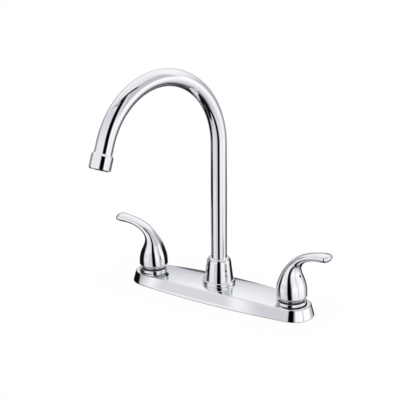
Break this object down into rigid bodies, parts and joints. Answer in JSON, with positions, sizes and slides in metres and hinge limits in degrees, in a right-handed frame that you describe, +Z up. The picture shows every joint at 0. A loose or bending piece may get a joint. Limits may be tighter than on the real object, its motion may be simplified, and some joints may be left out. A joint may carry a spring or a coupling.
{
  "type": "two handle kitchen faucet",
  "caption": "Chromed deck plate faucet with a swivelling gooseneck spout and a curved lever handle on each side, for hot and cold.",
  "frame": {"origin": "on the sink deck, on the spout's vertical axis, midway between the two valves", "axes": "+X from the hot side to the cold side, -Y to the person at the sink, +Z up"},
  "size_m": [0.3068, 0.2201, 0.3473],
  "materials": {
    "chrome": "polished chrome plate",
    "brass": "machined brass",
    "copper": "drawn copper tube",
    "rubber": "moulded rubber",
    "ceramic": "lapped alumina ceramic",
    "acetal": "moulded acetal",
    "stainless": "stainless steel"
  },
  "bodies": {
    "base": {"deck_plate": "chrome", "deck_gasket": "rubber", "spout_hub": "brass", "hot_crossover_tube": "copper", "cold_crossover_tube": "copper", "hot_valve_body": "brass", "cold_valve_body": "brass", "hot_bonnet_ring": "chrome", "cold_bonnet_ring": "chrome", "hot_cartridge_housing": "brass", "cold_cartridge_housing": "brass", "hot_fixed_disc": "ceramic", "cold_fixed_disc": "ceramic", "hot_seat_seal": "rubber", "cold_seat_seal": "rubber", "hot_shank_washer": "stainless", "cold_shank_washer": "stainless", "hot_lock_nut": "brass", "cold_lock_nut": "brass", "spout_flange_ring": "chrome", "bell_nut": "chrome", "lower_glide_washer": "acetal", "upper_glide_washer": "acetal"},
    "hot_handle": {"hot_lever": "chrome", "hot_set_screw": "stainless", "hot_stem": "brass", "hot_stem_o_ring": "rubber", "hot_moving_disc": "ceramic"},
    "cold_handle": {"cold_lever": "chrome", "cold_set_screw": "stainless", "cold_stem": "brass", "cold_stem_o_ring": "rubber", "cold_moving_disc": "ceramic"},
    "spout": {"spout_tube": "chrome", "spout_spigot": "brass", "spout_o_rings": "rubber", "spout_retaining_ring": "stainless", "aerator_housing": "chrome", "aerator_insert": "acetal", "aerator_screen": "stainless", "aerator_washer": "rubber"}
  },
  "joints": [
    {"name": "hot_handle_turn", "type": "hinge", "parent": "base", "child": "hot_handle", "pos_m": [-0.1016, 0, 0.03], "axis": [0, 0, 1], "range_deg": [0, 90]},
    {"name": "cold_handle_turn", "type": "hinge", "parent": "base", "child": "cold_handle", "pos_m": [0.1016, 0, 0.03], "axis": [0, 0, 1], "range_deg": [-90, 0]},
    {"name": "spout_swivel", "type": "hinge", "parent": "base", "child": "spout", "pos_m": [0, 0, 0.03], "axis": [0, 0, 1], "continuous": true}
  ]
}
